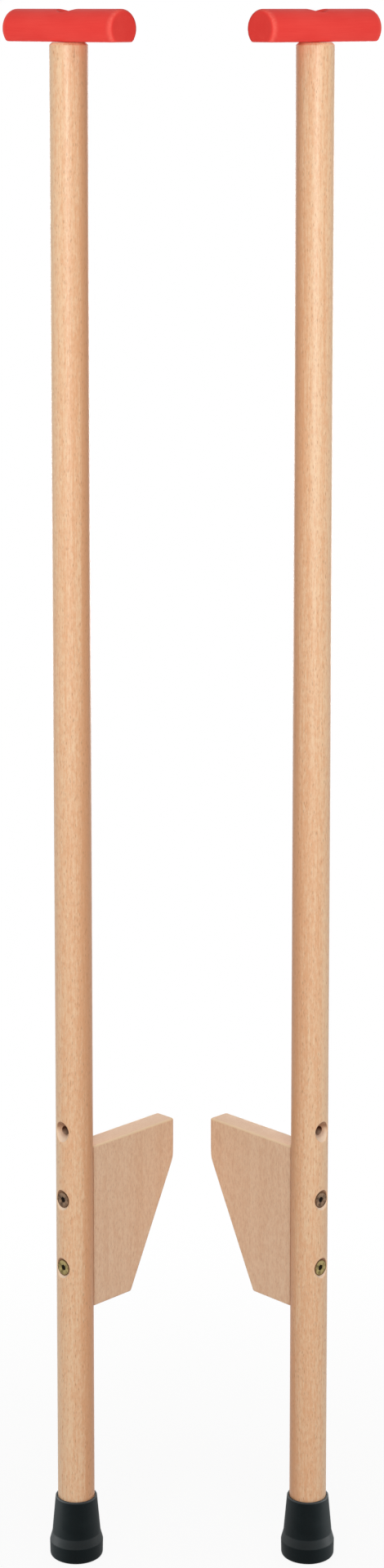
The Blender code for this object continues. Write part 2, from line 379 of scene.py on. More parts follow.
def beech(name, kind, place, turn, shift, band=None, holes=None, edges=None):
    # grain runs along Z: fibres, tone and rays are noise that is stretched along it, rings are layers of
    # one direction across it, so that end faces show rays as dots and rings as lines
    look, own = beechLook, beechLook[kind]
    wood = Finish(name, Specular_IOR_Level=0.3, Coat_Weight=own["varnish"], Coat_Roughness=0.34)
    centre = np.array(place) - np.array([0, 0, shift])

    def stretched(key):
        width, run = look[key]
        return wood.spots(centre, turn, (width, width, run))

    fibre = wood.noise(stretched("fibre"), 4, 0.6)
    tone = wood.noise(stretched("tone"), 2, 0.5)
    mottle = wood.noise(stretched("mottle"), 3, 0.6)
    sway = wood.noise(stretched("sway"), 1, 0.5)
    acrossX, acrossY = wood.parts(stretched("rings"))[:2]
    leanX, leanY = look["ringLean"]
    inLayer = (acrossX * leanX + acrossY * leanY + sway * look["swayRings"]).apply("FRACT")
    late = inLayer.rise(0.45, 0.97) * inLayer.rise(1.0, 0.94)
    rows = wood.noise(stretched("rows"), 2, 0.5).rise(0.38, 0.62)
    ray = wood.cells(stretched("ray")).rise(0.30, 0.10) * (rows * 0.6 + 0.4)
    pore = wood.cells(stretched("pore")).rise(0.34, 0.12)
    dash = wood.cells(stretched("dash")).rise(0.040, 0.025)
    shade = (fibre - 0.5) * own["fibre"] + (tone - 0.5) * own["tone"] + (mottle - 0.5) * own["mottle"]
    shade = shade + late * own["ring"] + look["middle"]
    if band:
        # straw outside, peach towards the inner side and an orange edge there that follows the grain:
        # partly the wood's tone and partly painted shade on the inner side
        acrossPole = wood.parts(wood.spots(place, band["turn"], band["radius"]))[0]
        shade = shade + acrossPole * heartwoodAndShadeLook["lean"]
    colour = wood.mix(shade.rise(0.0, 1.0), own["straw"], own["peach"])
    if band:
        byTone, byFibre = heartwoodAndShadeLook["ragged"]
        edge = acrossPole + (tone - 0.5) * byTone + (fibre - 0.5) * byFibre
        colour = wood.mix(edge.rise(*heartwoodAndShadeLook["edge"]) * heartwoodAndShadeLook["share"], colour, own["orange"])
    colour = wood.mix(ray * own["ray"] + pore * own["pore"] + dash * own["dash"], colour, own["fleck"])
    rough = 0.45 + fibre * 0.12 + ray * 0.10
    if holes:
        # about the nearest hole's axis: what lies under the pole's surface is bare, with a painted
        # highlight below, painted shade above and a ring of painted shade round the bore, and the bore is
        # dark, partly end grain and partly painted shade, but for a painted highlight on its lower wall
        cut, radius = holeLook, holes["radius"]
        ahead, aside, up = wood.parts(wood.spots(holes["place"], holes["turn"]))
        nearest = (up / holes["pitch"]).apply("ROUND").most(0).least(holes["count"] - 1)
        above = up - nearest * holes["pitch"]
        reach = (aside * aside + above * above).apply("SQRT")
        fromAxis = (ahead * ahead + aside * aside).apply("SQRT")
        skin, depth = cut["skin"]
        sunken = fromAxis.rise(holes["pole"] - skin, holes["pole"] - depth) * reach.rise(*cut["mouth"])
        upper, lower = above.rise(*cut["upper"]), above.rise(*cut["lower"])
        # bare wood in each countersink, paler on its lower side as a painted highlight
        colour = wood.mix(sunken * (0.35 + lower * 0.5), colour, own["cut"])
        # a ring of painted shade round the bore's mouth
        shadedRing = sunken * reach.rise(radius + cut["shadedRingWidth"][0], radius + cut["shadedRingWidth"][1])
        colour = wood.mix(shadedRing * (0.15 + mottle * 0.5), colour, own["fleck"])
        # painted shade on the upper side of each countersink
        colour = wood.mix(sunken * upper * (0.55 + mottle * 0.5), colour, cut["paintedUpperShade"])
        # the bore darkened as painted shade, but for a painted highlight on its lower wall
        shadedBore = reach.rise(radius + cut["boreEdge"], radius)
        pale = lower * fromAxis.rise(*cut["paintedLitWall"]) * 0.85
        colour = wood.mix(shadedBore * (1 - pale), colour, cut["bore"])
        wood.set(Coat_Weight=own["varnish"] * (1 - sunken))
        rough = rough + sunken * 0.35
    if edges:
        # the top is painted paler as light falling on it, and a highlight is painted on its rounded edges
        aside, up = wood.parts(wood.spots(edges["place"], edges["turn"]))[1:]
        (top, level), (under, over) = stepLightLook["top"], stepLightLook["edgeHighlight"]
        inside, outside = stepLightLook["edgeHighlightWidth"]
        fromMiddle, half = aside.apply("ABSOLUTE"), edges["half"]
        edgeHighlight = up.rise(-under, -over) * fromMiddle.rise(half - inside, half - outside)
        colour = wood.mix(up.rise(-top, -level) * 0.5, colour, own["paintedTopLight"])
        colour = wood.mix(edgeHighlight * (0.4 + mottle * 0.7), colour, own["cut"])
    wood.set(Base_Color=colour, Roughness=rough)
    wood.bump(fibre * 0.5 + 0.5 - ray * 0.4 - pore * 0.3, look["relief"], 0.5)
    return wood.material


# Paint, rubber and metal

paintLook = {
    "bright": srgb(252, 79, 71), "deep": srgb(245, 68, 62), "worn": srgb(253, 114, 101),
    "grain": (0.0012, 0.03, 0.0012),
    "cloud": (0.02, 0.05, 0.02),
    "peel": 0.0016,
    "highlightFrom": (0.0070, 0.0015),  # distances from an end over which the painted highlight sets in
    "wornTo": (0.0001, 0.0009),    # and over which it stops
    "relief": 0.0001,
}


def redPaint(name, place, turn, half):
    # brushed paint on wood: the grain under it still shows as faint ridges along the handle, and a paler
    # highlight is painted on the rounded ends
    look, paint = paintLook, Finish(name, Specular_IOR_Level=0.06)
    grain = paint.noise(paint.spots(place, turn, look["grain"]), 3, 0.6)
    cloud = paint.noise(paint.spots(place, turn, look["cloud"]), 2, 0.5)
    peel = paint.noise(paint.spots(place, turn, look["peel"]), 2, 0.5)
    shade = ((grain - 0.5) * 0.8 + (cloud - 0.5) * 1.2 + 0.5).rise(0.0, 1.0)
    colour = paint.mix(shade, look["bright"], look["deep"])
    fromMiddle = paint.parts(paint.spots(place, turn))[1].apply("ABSOLUTE")
    starts = fromMiddle.rise(half - look["highlightFrom"][0], half - look["highlightFrom"][1])
    stops = fromMiddle.rise(half - look["wornTo"][0], half - look["wornTo"][1])
    # a painted highlight on the rounded ends
    colour = paint.mix(starts * stops * (grain * 1.6 - 0.35), colour, look["worn"])
    paint.set(Base_Color=colour, Roughness=0.36 + cloud * 0.14 + grain * 0.05)
    paint.bump(grain * 0.6 + peel * 0.4, look["relief"], 0.35)
    return paint.material


rubberLook = {
    # the third colour serves both the scuffs and the painted highlights
    "black": srgb(2, 10, 12), "dusty": srgb(19, 26, 28), "scuffsAndHighlights": srgb(92, 95, 96),
    "bloom": (0.018, 0.018, 0.012),
    "speck": 0.0008,
    "scratch": (0.0007, 0.0007, 0.010),
    "flareEdge": (0.0004, 0.0008),  # how far the flare's painted highlight fades past its edge and inside it
    "baseEdge": (0.0002, 0.0006),
    "rim": (0.0016, 0.0004),        # depths under the rim over which a highlight is painted
    "scuffFoot": 0.002,
    "relief": 0.00015,
}


def blackRubber(name, place, height):
    # moulded rubber: dull bloom in clouds and fine speckle, a painted highlight on the flare and at the
    # rim, paler scuffs low down, and painted shade that makes the base blacker
    look, rubber = rubberLook, Finish(name, Specular_IOR_Level=0.1)
    bloom = rubber.noise(rubber.spots(place, 0, look["bloom"]), 3, 0.55)
    speck = rubber.noise(rubber.spots(place, 0, look["speck"]), 3, 0.6)
    scratch = rubber.noise(rubber.spots(place, 0.4, look["scratch"]), 2, 0.6).rise(0.66, 0.76)
    up = rubber.parts(rubber.spots(place))[2]
    base, flare = ferruleLook["baseHeight"], ferruleLook["baseHeight"] + ferruleLook["flareHeight"]
    past, inside = look["flareEdge"]
    onFlare = up.rise(base - past, base + inside) * up.rise(flare + past, flare - inside)
    onRim = up.rise(height - look["rim"][0], height - look["rim"][1])
    onBase = up.rise(base + look["baseEdge"][0], base - look["baseEdge"][1])
    low = up.rise(base, look["scuffFoot"])
    # painted shade makes the base blacker than the rest
    dustAndBaseShade = ((bloom - 0.5) * 1.1 + (speck - 0.5) * 0.8 + 0.35).rise(0.0, 1.2) * (1 - onBase * 0.8)
    colour = rubber.mix(dustAndBaseShade, look["black"], look["dusty"])
    # painted highlights on the flare and rim, and scuffs low down
    pale = onFlare * 0.11 + onRim * 0.34 + low * scratch * 0.12
    rubber.set(Base_Color=rubber.mix(pale, colour, look["scuffsAndHighlights"]))
    rubber.set(Roughness=0.42 + bloom * 0.16 + speck * 0.08)
    rubber.bump(speck * 0.7 + bloom * 0.3, look["relief"], 0.4)
    return rubber.material


platingLook = {
    "sleeve": {"bright": srgb(206, 206, 202), "dull": srgb(160, 162, 162), "rough": 0.4},
    "washer": {"bright": srgb(176, 176, 176), "dull": srgb(140, 141, 143), "rough": 0.45},
    "upper": {"bright": srgb(152, 124, 100), "dull": srgb(84, 66, 54), "rough": 0.36},
    "lower": {"bright": srgb(178, 160, 108), "dull": srgb(112, 98, 62), "rough": 0.36},
    "handle": {"bright": srgb(192, 172, 116), "dull": srgb(128, 110, 70), "rough": 0.36},
    # painted shade in the gap between a head and its hole
    "rim": srgb(104, 68, 40),
    # painted shade deep in a bolt's socket
    "socketShade": srgb(30, 22, 17),
    "drift": 0.004, "boltDrift": 0.0035, "grit": 0.0004,    # size of the tints' patches and of the grit
    "marks": 70,                   # turning marks, in radians from a head's middle to its rim
    "rimReach": (0.84, 0.95),      # where the painted shade on the head's rim sets in, in head radii
    "rimDepth": (0.0008, 0.0002),
    "socketReach": (0.42, 0.36),
    "socketDark": 0.0016,          # depth at which the painted shade in the socket is full
    "relief": 0.00004,
}


def plated(name, kind):
    # plated steel: two tints drifting over each other under a fine grit
    look, tints = platingLook, platingLook[kind]
    plate = Finish(name, Metallic=1.0)
    drift = plate.noise(plate.spots(size=look["drift"]), 3, 0.6)
    grit = plate.noise(plate.spots(size=look["grit"]), 2, 0.6)
    shade = ((drift - 0.5) * 1.6 + (grit - 0.5) * 0.6 + 0.5).rise(0.0, 1.0)
    plate.set(Base_Color=plate.mix(shade, tints["bright"], tints["dull"]))
    plate.set(Roughness=tints["rough"] - 0.08 + drift * 0.2 + grit * 0.06)
    plate.bump(grit, look["relief"], 0.5)
    return plate.material


def boltPlate(name, kind, place, turn, headRadius, upward=False):
    # passivated zinc on a bolt: turning marks and two tints round its axis, painted shade on the head's rim
    # where it meets its hole, and painted shade that darkens the socket the deeper it goes
    look, tints, plate = platingLook, platingLook[kind], Finish(name)
    first, second, third = plate.parts(plate.spots(place, turn))
    out, sideways, across = (third, first, second) if upward else (0 - first, second, third)
    reach = (sideways * sideways + across * across).apply("SQRT") / headRadius
    drift = plate.noise(plate.spots(place, turn, look["boltDrift"]), 3, 0.6)
    grit = plate.noise(plate.spots(place, turn, look["grit"]), 2, 0.6)
    turned = (reach * look["marks"]).apply("SINE")
    shade = ((drift - 0.5) * 2.2 + (grit - 0.5) * 0.5 + turned * 0.04 + 0.5).rise(0.0, 1.0)
    colour = plate.mix(shade, tints["bright"], tints["dull"])
    deep, shallow = look["rimDepth"]
    # painted shade on the head's rim, where it meets the hole
    paintedRimShade = reach.rise(*look["rimReach"]) * out.rise(-deep, -shallow)
    colour = plate.mix(paintedRimShade * (0.6 + drift * 0.6), colour, look["rim"])
    # the socket is painted darker, less metallic and rougher as shade the deeper it goes
    socketShade = reach.rise(*look["socketReach"]) * out.rise(0.0, -look["socketDark"])
    colour = plate.mix(socketShade * 0.93, colour, look["socketShade"])
    plate.set(Base_Color=colour, Metallic=1 - socketShade * 0.7)
    plate.set(Roughness=tints["rough"] - 0.08 + drift * 0.2 + grit * 0.06 + socketShade * 0.3)
    plate.bump(grit * 0.6 + turned * 0.1 + 0.1, look["relief"], 0.5)
    return plate.material


# Pole

poleLook = {
    "columns": 144,          # round the pole, a multiple of four
    "rowStep": 0.012,
    "topChamfer": 0.0025,
    "footChamfer": 0.0015,
    "chamferSoft": 0.0007,
    "patch": 16,             # half the patch that each hole is set in, in columns
    "holeEdge": 0.0005,      # softness of the edges of its holes
    "insertBore": 0.0131,
    "boreDepth": 0.025,
    "boreSoft": 0.0003,
    "endReach": 0.01,        # plain wall beside each end's chamfer
    "wallFrom": 0.02,        # from each end, where the even rows start
    "holeCount": 3,
}
boltLook = {
    "columns": 72,           # round a bolt, a multiple of six
    "shank": 0.008,
    "land": 0.0003,          # upright rim of the head above its cone
    "clearance": 0.0003,     # between a bolt and its hole
    "socketWidth": 0.005,    # across the flats
    "socketDepth": 0.0035,
    "socketLead": 0.0003,    # bevel at the socket's mouth
    "leadSpread": 1.12,      # ring round it, as a share of its reach
    "drillPoint": 0.0008,    # hollow in the socket's floor, and the share of the floor it takes up
    "drillShare": 0.96,
    "rimRound": 0.00012,     # rounding of the head's edges
    "tipChamfer": 0.001,
    "threadLength": 0.027,
    "threadPitch": 0.00125,
    "threadDepth": 0.0006,
    "threadRows": 8,         # rows of points for each turn of the thread
}


def countersunkHole(front, back, rodRadius, flat, bolt, soft):
    # A hole through a rod, in the rod's axes about the hole: side, along, out. It runs from the border of
    # the front patch over the rod to the mouth, down a cone and a straight shank, and out over the back
    # patch. The rod's surface is out = sqrt(radius² - side²), cut off at the flat behind; the cone widens
    # by as much as it rises, so its mouth solves reach = cone + sqrt(radius² - (reach cos)²) - level.
    turn = np.arctan2(front[:, 1], front[:, 0])
    level = bolt["face"] - boltLook["land"]
    cone = bolt["headRadius"] + boltLook["clearance"] * math.sqrt(2)
    shank = boltLook["shank"] / 2 + boltLook["clearance"]

    def ahead(reach):
        return np.sqrt(rodRadius ** 2 - (reach * np.cos(turn)) ** 2)

    def behind(reach):
        return -np.minimum(ahead(reach), flat)

    mouth = np.full_like(turn, cone)
    for _ in range(60):      # each round brings the mouth closer to its solution
        mouth = cone + ahead(mouth) - level

    outer, inner = mouth + soft, mouth - soft
    rim = ring(turn, outer, ahead(outer))
    over = between(front, rim, 6)
    over[..., 2] = np.sqrt(rodRadius ** 2 - over[..., 0] ** 2)
    coneTop = ring(turn, inner, level + inner - cone)
    coneFoot = ring(turn, shank, level + shank - cone)
    exitTop = ring(turn, shank, behind(shank) + soft)
    exitEdge = ring(turn, shank, behind(shank))
    exitRim = ring(turn, shank + soft, behind(shank + soft))
    under = between(exitRim, back, 6)
    under[..., 2] = -np.minimum(np.sqrt(rodRadius ** 2 - under[..., 0] ** 2), flat)
    return np.concatenate([over, bend(rim, ring(turn, mouth, ahead(mouth)), coneTop, 6)[1:],
                           between(coneTop, coneFoot, 5)[1:], between(coneFoot, exitTop, 6)[1:],
                           bend(exitTop, exitEdge, exitRim, 5)[1:], under[1:]])


def blindBore(front, surface, radius, floor, soft):
    # a plain bore in the same axes: over the surface to its mouth, down the wall and over the floor
    turn = np.arctan2(front[:, 1], front[:, 0])
    rim = ring(turn, radius + soft, surface((radius + soft) * np.cos(turn)))
    over = between(front, rim, 4)
    over[..., 2] = surface(over[..., 0])
    edge = surface(radius * np.cos(turn))
    wallTop = ring(turn, radius, edge - soft)
    wallFoot = ring(turn, radius, floor)
    return np.concatenate([over, bend(rim, ring(turn, radius, edge), wallTop, 4)[1:],
                           between(wallTop, wallFoot, 4)[1:],
                           between(wallFoot, ring(turn, 0, floor), 4)[1:]])


def boredRod(grid, holes, half):
    # a rod's grid with a patch taken out of its front and its back for each hole, and the holes' rings
    columns = grid.shape[1]
    kept = np.ones((grid.shape[0] - 1, columns), bool)
    grids = [{"points": grid, "kept": kept}]
    for row, rings in holes:
        centre = np.array([0, grid[row, 0, 1], 0])
        front = patchOutline(grid, row, 0, half) - centre
        back = patchOutline(grid, row, columns // 2, half, -1) - centre
        dropPatch(kept, row, 0, half)
        dropPatch(kept, row, columns // 2, half)
        grids.append({"points": rings(front, back) + centre})
    return grids


def poleGrids(stilt):
    # a lathe about the pole's axis, from the middle of its foot up the side, over the top and down the
    # bore for the handle's insert
    look, radius, top, foot = poleLook, stilt.poleRadius, stilt.poleTop, stilt.poleFoot
    bore, soft, boreSoft = look["insertBore"] / 2, look["chamferSoft"], look["boreSoft"]
    floor, reach, start = top - look["boreDepth"], look["endReach"], look["wallFrom"]
    heights = [stilt.lowerBolt["height"] + stilt.holePitch * level for level in range(look["holeCount"])]
    footEdge = softened([(0, foot), (radius - look["footChamfer"], foot),
                         (radius, foot + look["footChamfer"]), (radius, foot + reach)], [soft, soft])
    topEdge = softened([(radius, top - reach), (radius, top - look["topChamfer"]),
                        (radius - look["topChamfer"], top), (bore, top), (bore, floor), (0, floor)],
                       [soft, soft, boreSoft, boreSoft])
    fine = 2 * math.pi * radius / look["columns"]
    side = rowsAlong(foot + start, top - start, look["rowStep"], heights, look["patch"], fine)
    wall = np.stack([np.full_like(side, radius), side], axis=-1)
    grid = lathe(np.concatenate([footEdge, wall, topEdge]), look["columns"])[..., [1, 2, 0]]
    holes = []
    for place in heights:
        row = len(footEdge) + int(np.searchsorted(side, place - fine / 2))
        holes.append((row, lambda front, back: countersunkHole(
            front, back, radius, np.inf, stilt.upperBolt, look["holeEdge"])))
    facing = np.array([[0, -1, 0], [0, 0, 1], [-1, 0, 0]])   # side, along and out in the stilt's axes
    return [dict(part, points=part["points"] @ facing) for part in boredRod(grid, holes, look["patch"])]


# Handle

handleLook = {
    "roundColumns": 46,      # points of half a section: on its round, at its corner and on its flat
    "cornerColumns": 6,
    "flatColumns": 20,
    "rowStep": 0.003,
    "patch": 16,
    "corner": 0.0016,        # softness of the two long edges of the flat
    "endRound": 0.0037,
    "endFlatRound": 0.4,     # how much of the end's rounding the flat takes
    "holeEdge": 0.0006,
    "endTip": 0.001,         # share of the end face that closes in its middle
}


def dSections(radius, flat, corner):
    # a row of D shapes, (side, out) points from the crown round: half of each is an arc down to its corner,
    # a bend and half the flat, and the other half is its mirror image
    look = handleLook
    radius, flat, corner = (np.asarray(value, float)[:, None] for value in (radius, flat, corner))
    chord = np.sqrt(radius ** 2 - flat ** 2)
    last = np.arccos(-flat / radius) - corner / radius
    turn = last * np.linspace(0, 1, look["roundColumns"] + 1)
    arc = np.stack([radius * np.sin(turn), radius * np.cos(turn)], axis=-1)
    t = np.linspace(0, 1, look["cornerColumns"] + 1)[1:]
    side = (1 - t) ** 2 * arc[:, -1:, 0] + 2 * t * (1 - t) * chord + t ** 2 * (chord - corner)
    out = (1 - t) ** 2 * arc[:, -1:, 1] - (2 * t * (1 - t) + t ** 2) * flat
    bent = np.stack([side, out], axis=-1)
    inward = (chord - corner) * np.linspace(1, 0, look["flatColumns"] + 1)[1:]
    level = np.stack([inward, -flat + 0 * inward], axis=-1)
    half = np.concatenate([arc, bent, level], axis=1)
    return np.concatenate([half, half[:, -2:0:-1] * [-1, 1]], axis=1)


def handleGrids(stilt):
    # D sections along the handle: they shrink over each rounded end as radius - round (1 - cos), and then
    # down to the middle of the end face
    look, points = handleLook, stilt.node("handle")
    half, radius = np.abs(points[:, 1]).max(), np.abs(points[:, 0]).max()
    foot, top = span(points[:, 2])
    axis = top - radius
    flat = axis - foot
    fine = radius * math.acos(-flat / radius) / look["roundColumns"]
    end, endFlatRound = look["endRound"], look["endFlatRound"]
    body = rowsAlong(end - half, half - end, look["rowStep"], [0.0], look["patch"], fine)
    swing = np.linspace(0, math.pi / 2, 12)[1:]
    shrink = end * (1 - np.cos(swing))
    face = np.linspace(1, look["endTip"], 8)[1:]
    endAlong = np.concatenate([half - end * (1 - np.sin(swing)), np.full_like(face, half)])
    endRadius = np.concatenate([radius - shrink, (radius - end) * face])
    endFlat = np.concatenate([flat - shrink * endFlatRound, (flat - end * endFlatRound) * face])
    along = np.concatenate([-endAlong[::-1], body, endAlong])
    radii = np.concatenate([endRadius[::-1], np.full_like(body, radius), endRadius])
    flats = np.concatenate([endFlat[::-1], np.full_like(body, flat), endFlat])
    section = dSections(radii, flats, look["corner"] * radii / radius)
    grid = np.stack([section[..., 0], along[:, None] + 0 * section[..., 0], section[..., 1]], axis=-1)
    bolt = stilt.handleBolt()
    bolt = dict(bolt, face=bolt["face"] - axis)
    row = len(endAlong) + int(np.searchsorted(body, -fine / 2))
    holes = [(row, lambda front, back: countersunkHole(front, back, radius, flat, bolt, look["holeEdge"]))]
    parts = boredRod(grid, holes, look["patch"])
    parts[0]["caps"] = (0, -1)
    return [dict(part, points=part["points"] + [0, 0, axis]) for part in parts]


# Step

stepLook = {
    "footLength": 0.0465,    # from the pole's surface to the foot of the slanted edge
    "tipHeight": 0.039,      # upright edge at the tip
    "edge": 0.0015,          # rounding of the outer edges
    "tipEase": 0.0016,       # softness of the corner under the tip
    "saddleGap": 0.0003,
    "saddleColumns": 32,
    "saddleEdge": 0.0004,
    "faceColumns": 30,
    "edgeColumns": 10,
    "rowStep": 0.004,
    "patch": 13,
    "insertBore": 0.0131,
    "boreEnd": 0.0406,       # from the pole's axis
}


def stepGrids(stilt):
    # Level rings stacked from the underside to the top. Each ring goes over the saddle, u = sqrt(saddle²
    # - v²), along one face, round the outer edge and back along the other face. The outer edge is the
    # lesser of the slanted edge and the tip; the rings draw in over the rounded top and underside.
    look, points = stepLook, stilt.node("step")
    foot, top = span(points[:, 2])
    tip, halfThick = points[:, 0].max(), np.abs(points[:, 1]).max()
    saddle, edge = stilt.poleRadius + look["saddleGap"], look["edge"]
    footOut, kink = stilt.poleRadius + look["footLength"], top - look["tipHeight"]
    fine = 2 * halfThick / look["saddleColumns"]
    bolts = [stilt.lowerBolt["height"], stilt.upperBolt["height"]]
    body = rowsAlong(foot + edge, top - edge, look["rowStep"], bolts, look["patch"], fine)
    swing = np.linspace(0, math.pi / 2, 7)[1:]
    draw, rise = edge * (1 - np.cos(swing)), edge * (1 - np.sin(swing))
    heights = np.concatenate([foot + rise[::-1], body, top - rise])
    inset = np.concatenate([draw[::-1], np.zeros_like(body), draw])[:, None]
    slant = footOut + (tip - footOut) * (heights[:, None] - foot) / (kink - foot)
    out = (slant + tip - np.sqrt((slant - tip) ** 2 + look["tipEase"] ** 2)) / 2 - inset
    wide = halfThick - inset

    # the saddle from +v to -v
    reach = wide - look["saddleEdge"]
    saddleV = reach * np.linspace(1, -1, look["saddleColumns"] + 1)
    saddleU = np.sqrt(saddle ** 2 - saddleV ** 2)
    # one face from the saddle's soft edge out, and the quarter bend onto the outer edge
    faceStart = np.sqrt(saddle ** 2 - wide ** 2) + look["saddleEdge"]
    faceU = faceStart + (out - edge - faceStart) * np.linspace(0, 1, look["faceColumns"] + 1)
    faceV = wide + 0 * faceU
    bendTurn = np.linspace(0, math.pi / 2, 7)[1:]
    bendU, bendV = out - edge + edge * np.sin(bendTurn), wide - edge + edge * np.cos(bendTurn)
    edgeV = (wide - edge) * np.linspace(1, -1, look["edgeColumns"] + 1)[1:-1]
    edgeU = out + 0 * edgeV
    ringU = np.concatenate([saddleU, faceU, bendU, edgeU, bendU[:, ::-1], faceU[:, ::-1]], axis=1)
    ringV = np.concatenate([saddleV, -faceV, -bendV, -edgeV, bendV[:, ::-1], faceV[:, ::-1]], axis=1)
    grid = np.stack([ringU, ringV, heights[:, None] + 0 * ringU], axis=-1)

    kept = np.ones((grid.shape[0] - 1, grid.shape[1]), bool)
    parts = [{"points": grid, "kept": kept, "caps": (0, -1)}]
    facing = np.array([[0, 1, 0], [0, 0, 1], [-1, 0, 0]])    # side, along and out of the saddle
    middle = look["saddleColumns"] // 2
    for height in bolts:
        row = len(swing) + int(np.searchsorted(body, height - fine / 2))
        centre = np.array([0, 0, height])
        front = (patchOutline(grid, row, middle, look["patch"]) - centre) @ facing.T
        rings = blindBore(front, lambda side: -np.sqrt(saddle ** 2 - side ** 2),
                          look["insertBore"] / 2, -look["boreEnd"], look["saddleEdge"])
        dropPatch(kept, row, middle, look["patch"])
        parts.append({"points": rings @ facing + centre})
    return parts


# Bolts and inserts

def boltGrid(bolt, turnBy):
    # A ring grid from the middle of the socket out over the head and down the shank. The socket is a
    # hexagon, reach = half width / cos(turn from the nearest flat); the thread is a ridge that climbs one
    # pitch a turn, so its depth at a point is a triangle wave of height / pitch + turn / 2 pi, a little
    # flattened at crest and root.
    look, length = boltLook, bolt["length"]
    turn = allRound(look["columns"])
    toFlat = (turn % (math.pi / 3)) - math.pi / 6
    flat, shank, head = look["socketWidth"] / 2, look["shank"] / 2, bolt["headRadius"]
    depth, land, rim = look["socketDepth"], look["land"], look["rimRound"]
    hexagon = flat / np.cos(toFlat)
    lead = flat / math.cos(math.pi / 6) + look["socketLead"]
    coneFoot, threadTop = -land - (head - shank), look["threadLength"] - length
    plain = np.concatenate([
        ring(turn, 0, -depth - look["drillPoint"])[None],
        ring(turn, hexagon * look["drillShare"], -depth)[None],
        between(ring(turn, hexagon, -depth), ring(turn, hexagon, -look["socketLead"]), 3),
        ring(turn, np.maximum(hexagon, lead), 0)[None],
        between(ring(turn, lead * look["leadSpread"], 0), ring(turn, head - rim, 0), 4),
        bend(ring(turn, head - rim, 0), ring(turn, head, 0), ring(turn, head, -rim), 4)[1:],
        ring(turn, head, -land)[None],
        between(ring(turn, head - rim, -land - rim), ring(turn, shank + rim, coneFoot + rim), 3),
        between(ring(turn, shank, coneFoot - rim), ring(turn, shank, threadTop), 3),
    ])
    pitch = look["threadPitch"]
    rows = int(look["threadLength"] / pitch * look["threadRows"])
    height = np.linspace(threadTop, -length, rows)[1:, None]
    wave = np.abs(((height / pitch + turn / (2 * math.pi)) % 1) * 2 - 1)
    fade = np.clip((threadTop - height) / (2 * pitch), 0, 1)
    root = look["threadDepth"] * np.clip(wave * 1.3 - 0.15, 0, 1) * fade
    reach = np.minimum(shank - root, shank - look["tipChamfer"] + height + length)
    grid = np.concatenate([plain, ring(turn, reach, height), ring(turn, 0, -length)[None]])
    cosine, sine = math.cos(turnBy), math.sin(turnBy)
    return grid @ np.array([[cosine, sine, 0], [-sine, cosine, 0], upright])


insertLook = {"columns": 72, "ridges": 10, "ridgeDepth": 0.0008, "bore": 0.0086}


def insertGrid(radius, length):
    # a sleeve whose outside is a row of soft ridges, radius - depth (1 - |cos|), and whose ends are flat
    look = insertLook
    down = np.linspace(0, 1, look["ridges"] * 8 + 1)
    wall = radius - look["ridgeDepth"] * np.abs(np.cos(math.pi * look["ridges"] * down))
    bore = look["bore"] / 2
    profile = np.concatenate([[(bore, -length), (bore, 0)], np.stack([wall, -length * down], axis=-1),
                              [(bore, -length)]])
    return lathe(profile, look["columns"])


standing = np.eye(3)                                         # leaves a bolt upright, head up
sunk = np.array([[0, 0, 1], [0, 1, 0], [-1, 0, 0]])          # lays it down, head out of the pole
boltTurns = {"upper": 0.35, "lower": 0.05, "handle": 0.2}    # how far each is screwed round, in radians


# Ferrule and washer

ferruleLook = {
    "columns": 144,
    "gap": 0.0003,           # between the bore and the pole
    "floor": 0.010,
    "floorSoft": 0.0005,
    "mouthSoft": 0.0004,
    "rimWall": 0.0020,       # wall at the rim, at the waist, and at the top and foot of the base
    "waistWall": 0.0053,
    "flareWall": 0.0077,
    "baseWall": 0.0074,
    "baseHeight": 0.0152,
    "flareHeight": 0.0085,
    "rimSoft": 0.0011,
    "kinkSoft": 0.0006,
    "baseRound": 0.0032,
    "treadPitch": 0.0075,
    "treadWidth": 0.0028,
    "treadDepth": 0.0015,
    "treadSlope": 0.0004,    # how much narrower a groove is at its floor, on each side
    "treadSoft": 0.0003,
}


def ferruleGrid(stilt):
    # a lathe: bore, rim, tapered collar, flare, upright base, rounded lower edge and two tread grooves
    look = ferruleLook
    height = stilt.node("ferrule")[:, 2].max()
    bore = stilt.poleRadius + look["gap"]
    base = bore + look["baseWall"]
    corners = [(0, look["floor"]), (bore, look["floor"]), (bore, height), (bore + look["rimWall"], height),
               (bore + look["waistWall"], look["baseHeight"] + look["flareHeight"]),
               (bore + look["flareWall"], look["baseHeight"]), (base, 0)]
    softs = ("floorSoft", "mouthSoft", "rimSoft", "kinkSoft", "kinkSoft", "baseRound")
    cuts = [look[name] for name in softs]
    slope, depth = look["treadSlope"], look["treadDepth"]
    for middle in (2 * look["treadPitch"], look["treadPitch"]):
        outer, inner = middle + look["treadWidth"] / 2, middle - look["treadWidth"] / 2
        corners += [(outer, 0), (outer - slope, depth), (inner + slope, depth), (inner, 0)]
        cuts += [look["treadSoft"]] * 4
    corners.append((0, 0))
    return lathe(softened(corners, cuts, 7), look["columns"])


washerLook = {"columns": 96, "edge": 0.0003}


def washerGrid(points):
    # a flat ring with soft edges
    inner, outer = span(np.hypot(points[:, 0], points[:, 1]))
    foot, top = span(points[:, 2])
    start = ((inner + outer) / 2, top)
    corners = [start, (outer, top), (outer, foot), (inner, foot), (inner, top), start]
    return lathe(softened(corners, [washerLook["edge"]] * 4), washerLook["columns"])


# Putting each piece on its body

dressed = {"left": [], "right": [], "feet": [], "handles": [], "low": []}


